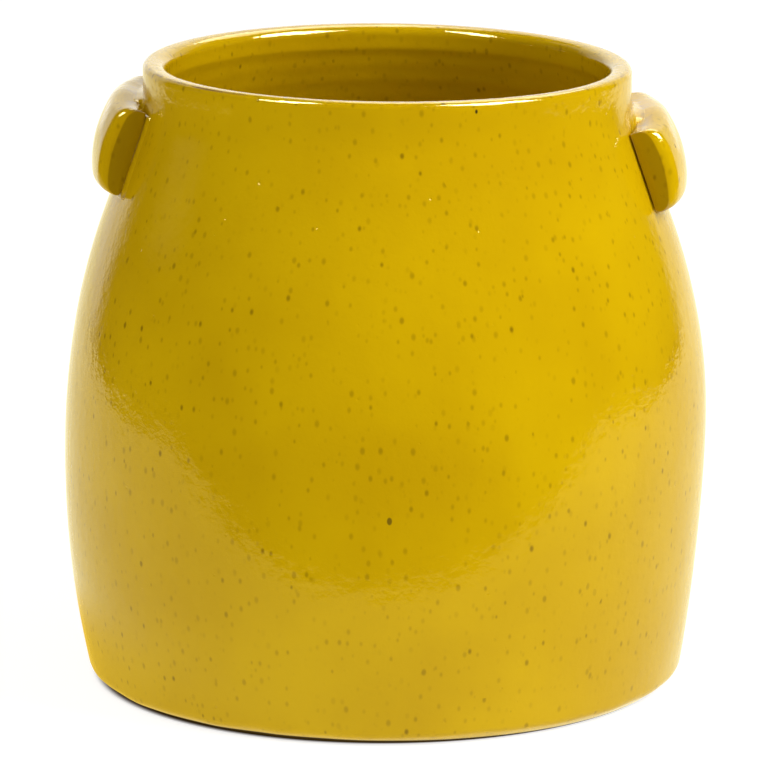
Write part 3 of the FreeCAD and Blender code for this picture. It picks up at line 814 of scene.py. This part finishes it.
def pale_surface(name, colour, glow, *soft_edges, near_pot=None, matt=0.0):
    """Pale surface of the stage that glows, with soft edges and, near the pot, a painted colour: the pot's
    shadow on the floor, its bounce light on the paper.

    A soft edge is an axis, the place where the glow ends and the place where it is full.
    """
    material = bpy.data.materials.new(name)
    material.use_nodes = True
    tree = material.node_tree
    shader = tree.nodes["Principled BSDF"]
    shader.inputs["Base Color"].default_value = (matt, matt, matt, 1)
    shader.inputs["Roughness"].default_value = SHEET_ROUGHNESS
    shader.inputs["Specular IOR Level"].default_value = 0.0
    shader.inputs["Emission Color"].default_value = colour
    shader.inputs["Emission Strength"].default_value = glow
    where = put(tree, "ShaderNodeTexCoord").outputs["Object"]
    if near_pot:
        place, near_colour, full_to, gone_at = near_pot
        reach = put(tree, "ShaderNodeVectorMath", {0: where, 1: place}, operation="DISTANCE").outputs["Value"]
        tint = mix_colour(tree, fade(tree, reach, full_to, gone_at), near_colour, colour)
        tree.links.new(tint, shader.inputs["Emission Color"])
    if soft_edges:
        axes = put(tree, "ShaderNodeSeparateXYZ", {"Vector": where})
        strength = glow
        for axis, ends_at, full_at in soft_edges:
            strength = times(tree, fade(tree, axes.outputs[axis], ends_at, full_at), strength)
        tree.links.new(strength, shader.inputs["Emission Strength"])
    return material


def stage_sheet(name, low, high, material):
    """Flat sheet of the stage between two opposite corners, lying or upright."""
    size = Vector(high) - Vector(low)
    bm = bmesh.new()
    bmesh.ops.create_grid(bm, x_segments=1, y_segments=1, size=0.5)
    if size.y == 0:
        bmesh.ops.rotate(bm, verts=bm.verts, cent=(0, 0, 0), matrix=Matrix.Rotation(QUARTER_TURN, 3, "X"))
    if size.x == 0:
        bmesh.ops.rotate(bm, verts=bm.verts, cent=(0, 0, 0), matrix=Matrix.Rotation(QUARTER_TURN, 3, "Y"))
    bmesh.ops.scale(bm, verts=bm.verts, vec=[length or 1 for length in size])
    bmesh.ops.translate(bm, verts=bm.verts, vec=(Vector(low) + Vector(high)) / 2)
    mesh = bpy.data.meshes.new(name)
    bm.to_mesh(mesh)
    bm.free()
    sheet = bpy.data.objects.new(name, mesh)
    mesh.materials.append(material)
    bpy.context.scene.collection.objects.link(sheet)
    return sheet


def gloss_sheet(name, low, high, material):
    """Sheet of the stage that only the gloss sees."""
    sheet = stage_sheet(name, low, high, material)
    sheet.visible_camera = False
    sheet.visible_diffuse = False
    sheet.visible_shadow = False
    sheet.visible_transmission = False


def build_floor():
    """Pale floor with the pot's shadow at its foot."""
    half = FLOOR_SIZE / 2
    pale_floor = pale_surface("pale_floor", WHITE, FLOOR_GLOW, near_pot=FOOT_SHADOW, matt=FLOOR_MATT)
    floor = stage_sheet("floor", (-half, -half, 0), (half, half, 0), pale_floor)
    floor.visible_glossy = False
    floor.visible_shadow = False


def build_papers():
    """White papers round the pot, a ceiling panel and a dim card, all for the gloss to mirror."""
    floor_paper = pale_surface("floor_paper", WARM, PAPER_GLOW, ("X", PAPER_LEFT, PAPER_LEFT + PAPER_FADE),
                               ("X", PAPER_RIGHT, PAPER_RIGHT - PAPER_FADE), near_pot=POT_BOUNCE)
    gloss_sheet("paper", (PAPER_LEFT, PAPER_FRONT, SHEET_RISE), (PAPER_RIGHT, PAPER_BACK, SHEET_RISE),
                floor_paper)
    gloss_sheet("back_paper", (PAPER_LEFT, PAPER_BACK, SHEET_RISE), (PAPER_RIGHT, BACKDROP_AT, SHEET_RISE),
                pale_surface("back_floor_paper", WARM, BACK_PAPER_GLOW))
    gloss_sheet("backdrop", (PAPER_LEFT, BACKDROP_AT, SHEET_RISE), (PAPER_RIGHT, BACKDROP_AT, BACKDROP_TOP),
                pale_surface("backdrop_paper", CREAM, BACKDROP_GLOW))
    left_paper = pale_surface("left_wall_paper", CREAM, LEFT_WALL_GLOW, ("Y", LEFT_WALL_FROM, LEFT_WALL_FULL))
    gloss_sheet("left_wall", (PAPER_LEFT, LEFT_WALL_FROM, SHEET_RISE),
                (PAPER_LEFT, BACKDROP_AT, BACKDROP_TOP), left_paper)
    right_paper = pale_surface("right_wall_paper", WARM, RIGHT_WALL_GLOW,
                               ("Y", RIGHT_WALL_FROM, RIGHT_WALL_FULL))
    gloss_sheet("right_wall", (PAPER_RIGHT, RIGHT_WALL_FROM, SHEET_RISE),
                (PAPER_RIGHT, BACKDROP_AT, BACKDROP_TOP), right_paper)
    ceiling_panel = pale_surface("ceiling_panel", CREAM, CEILING_GLOW, ("X", CEILING_LEFT, CEILING_FULL))
    gloss_sheet("ceiling", (CEILING_LEFT, CEILING_FRONT, BACKDROP_TOP),
                (PAPER_RIGHT, BACKDROP_AT, BACKDROP_TOP), ceiling_panel)
    dim_card = pale_surface("dim_card", WARM, CARD_GLOW, ("Z", CARD_LOW, CARD_HEIGHT_FULL),
                            ("Z", CARD_TOP, CARD_HEIGHT_FULL), ("Y", CARD_FRONT, CARD_FRONT_FULL),
                            ("Y", CARD_BACK, CARD_BACK_FULL))
    gloss_sheet("left_dim_card", (CARD_AT, CARD_FRONT, CARD_LOW), (CARD_AT, CARD_BACK, CARD_TOP), dim_card)


# Light: azimuth from the camera's side to the right and elevation in degrees, sizes in metres, power in watts
SOFT_BOXES = {
    "soft_box_left": {"azimuth": -60, "elevation": 48, "width": 0.45, "height": 0.45, "power": 4.7},
    "soft_box_right": {"azimuth": 64, "elevation": 45, "width": 0.9, "height": 0.9, "power": 33},
}
GLEAMS = {
    "gleam_left": {"azimuth": -60, "elevation": 53, "width": 0.5, "height": 1.0, "power": 110},
    "gleam_right": {"azimuth": 64, "elevation": 51, "width": 1.1, "height": 1.1, "power": 260},
}
BOX_DISTANCE = 2.2
AIM = Vector((0, 0, 0.13))
ROOM = (0.5, 0.5, 0.5, 1)
DARK_ROOM = (0.02, 0.02, 0.02, 1)


def soft_box(name, azimuth, elevation, width, height, power):
    """Soft light aimed at the pot."""
    light = bpy.data.lights.new(name, "AREA")
    light.shape = "RECTANGLE"
    light.size = width
    light.size_y = height
    light.energy = power
    lamp = bpy.data.objects.new(name, light)
    level = BOX_DISTANCE * math.cos(math.radians(elevation))
    lamp.location = (level * math.sin(math.radians(azimuth)), -level * math.cos(math.radians(azimuth)),
                     BOX_DISTANCE * math.sin(math.radians(elevation)))
    lamp.rotation_euler = (AIM - lamp.location).to_track_quat("-Z", "Y").to_euler()
    bpy.context.scene.collection.objects.link(lamp)
    return lamp


def build_light():
    """Two soft boxes in front, each with its gleam for the gloss."""
    for name, place in SOFT_BOXES.items():
        soft_box(name, **place).visible_glossy = False
    for name, place in GLEAMS.items():
        soft_box(name, **place).visible_diffuse = False


def build_room():
    """Room that lights the pot evenly, is dark to the gloss and white to the camera."""
    world = bpy.data.worlds.new("studio")
    bpy.context.scene.world = world
    world.use_nodes = True
    tree = world.node_tree
    tree.nodes.clear()
    path = put(tree, "ShaderNodeLightPath")
    room = mix_colour(tree, path.outputs["Is Glossy Ray"], ROOM, DARK_ROOM)
    colour = mix_colour(tree, path.outputs["Is Camera Ray"], room, WHITE)
    sky = put(tree, "ShaderNodeBackground", {"Color": colour})
    put(tree, "ShaderNodeOutputWorld", {"Surface": sky.outputs["Background"]})
    bpy.context.scene.view_settings.view_transform = "Standard"


# Camera: a long lens in front of the pot, looking a little down
CAMERA_PLACE = (-0.42 * MM, -2.4, 0.6643)
CAMERA_PITCH = math.radians(12.72)
CAMERA_LENS = 274.2
CAMERA_SENSOR = 36
CAMERA_REACH = 100


def build_camera():
    """Camera at the photograph's place."""
    data = bpy.data.cameras.new("camera")
    data.lens = CAMERA_LENS
    data.sensor_width = CAMERA_SENSOR
    data.clip_end = CAMERA_REACH
    camera = bpy.data.objects.new("camera", data)
    camera.location = CAMERA_PLACE
    camera.rotation_euler = (QUARTER_TURN - CAMERA_PITCH, 0, 0)
    bpy.context.scene.collection.objects.link(camera)
    bpy.context.scene.camera = camera


build_camera()
build_floor()
build_papers()
build_light()
build_room()
noise.seed_set(DENT_SEED)
thrown_body(speckled_glaze("body_speckled_glaze", THIN_RIM_MARK, down_to_foot=True))
lug_finish = speckled_glaze("lug_speckled_glaze", CUT_END_SHADE_MARK, LUG_CREASE_SHADE_MARK)
slip_finish = speckled_glaze("slip_glaze_crease_shade", SLIP_CREASE_SHADE_MARK)
for lug_side in LUGS:
    pressed_lug(lug_side, lug_finish)
    luting_slip(lug_side, slip_finish)
